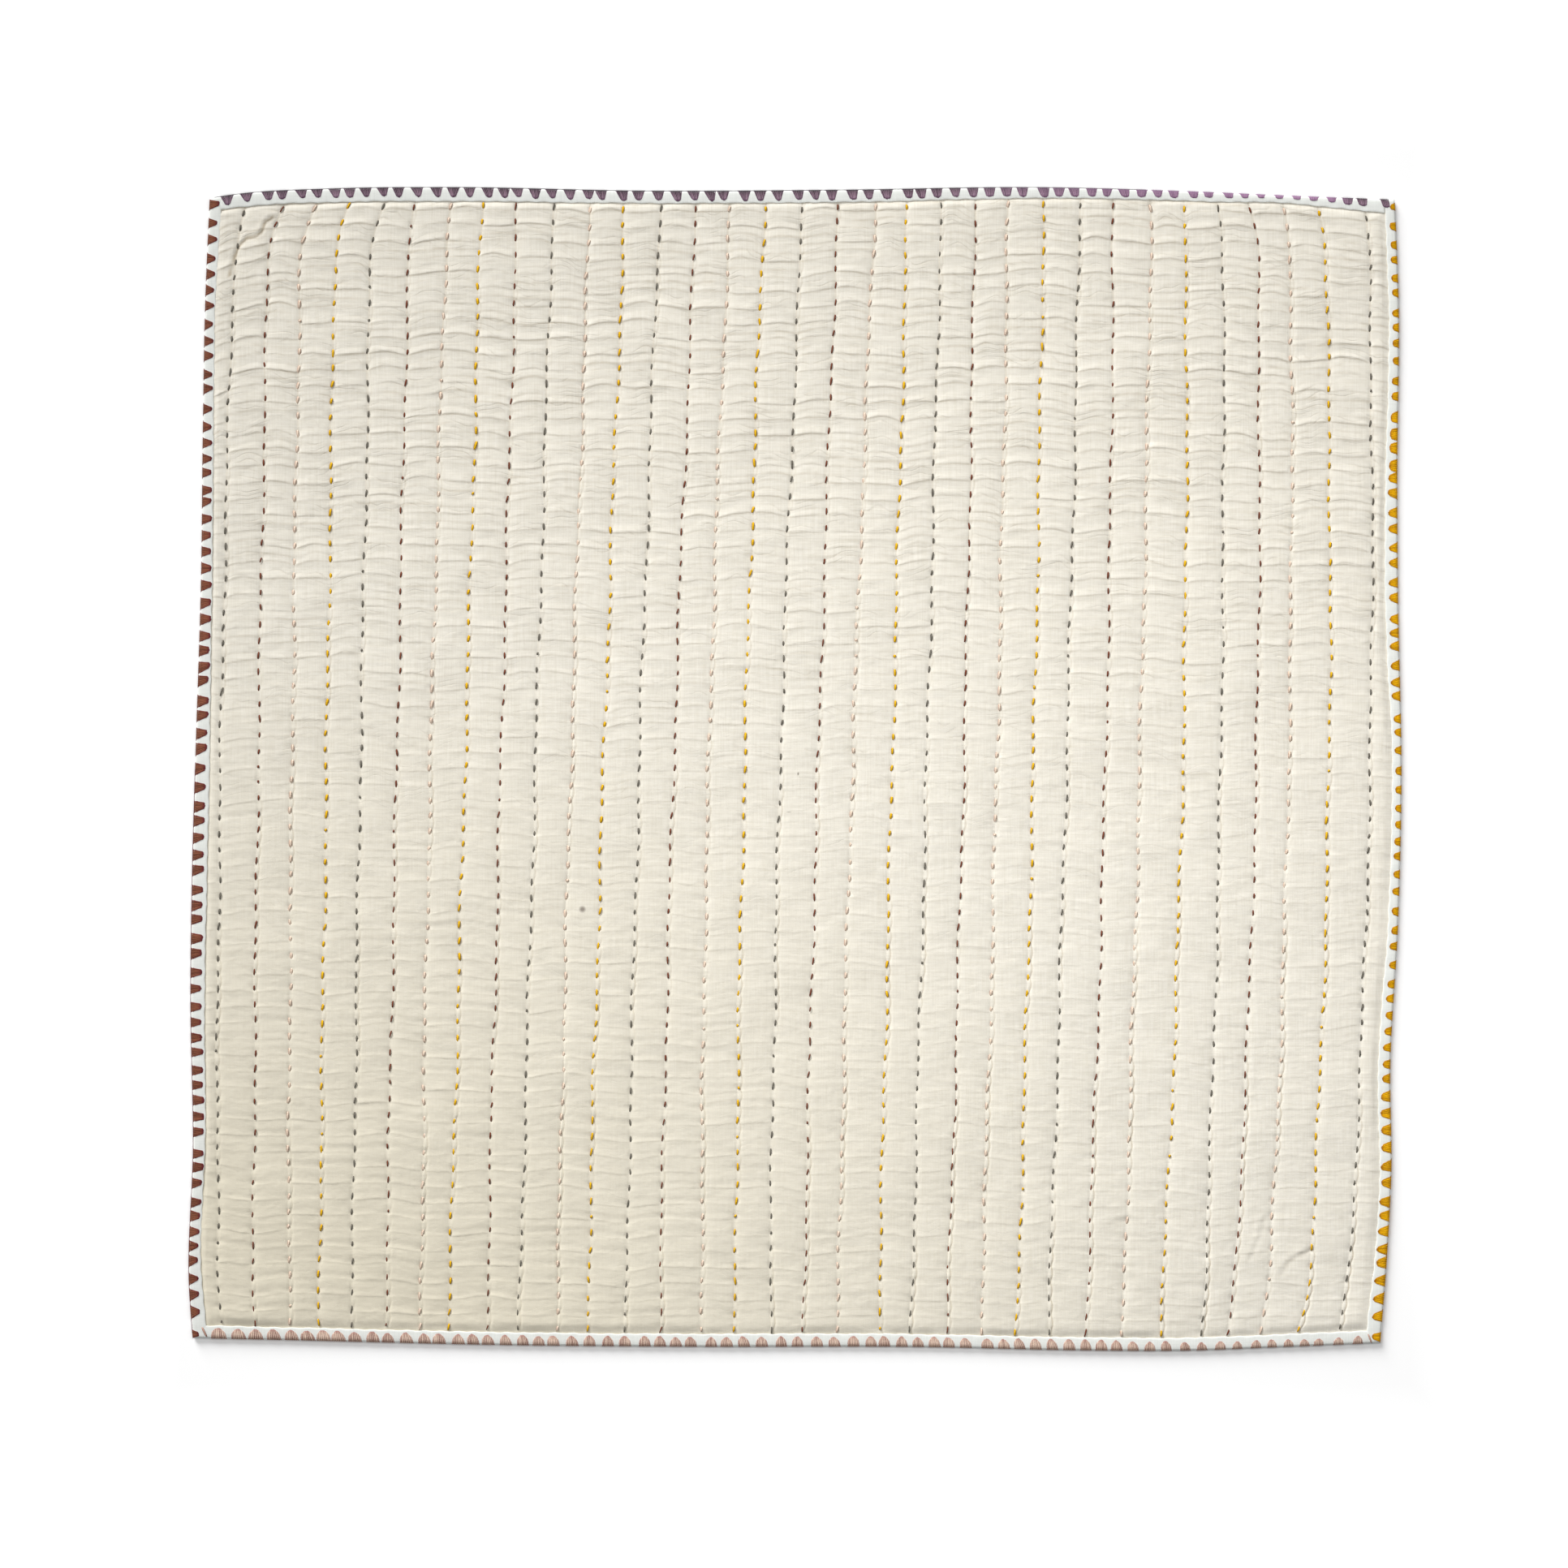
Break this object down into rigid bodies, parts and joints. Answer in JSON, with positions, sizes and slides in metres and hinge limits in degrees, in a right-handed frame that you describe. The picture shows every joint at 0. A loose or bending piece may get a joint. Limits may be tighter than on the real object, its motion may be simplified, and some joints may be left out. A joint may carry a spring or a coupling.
{
  "type": "baby blanket",
  "caption": "Quilted cotton gauze baby blanket with running-stitch channels and a bound, embroidered edge, lying flat.",
  "frame": {"origin": "under the middle of the blanket's outline box, on the surface it lies on", "axes": "+X to the right across the blanket, +Y up it towards the purple edge, +Z up out of its face"},
  "size_m": [0.9329, 0.895, 0.0058],
  "materials": {
    "cream_gauze": "matt open cotton weave, cream",
    "white_tape_left": "matt plain cotton tape, white, with rust brown edge embroidery",
    "white_tape_right": "matt plain cotton tape, white, with mustard edge embroidery",
    "white_tape_top": "matt plain cotton tape, white, with purple edge embroidery",
    "white_tape_bottom": "matt plain cotton tape, white, with blush edge embroidery"
  },
  "bodies": {
    "root": {"quilted_body": "cream_gauze", "binding_left": "white_tape_left", "binding_right": "white_tape_right", "binding_top": "white_tape_top", "binding_bottom": "white_tape_bottom"}
  },
  "joints": []
}
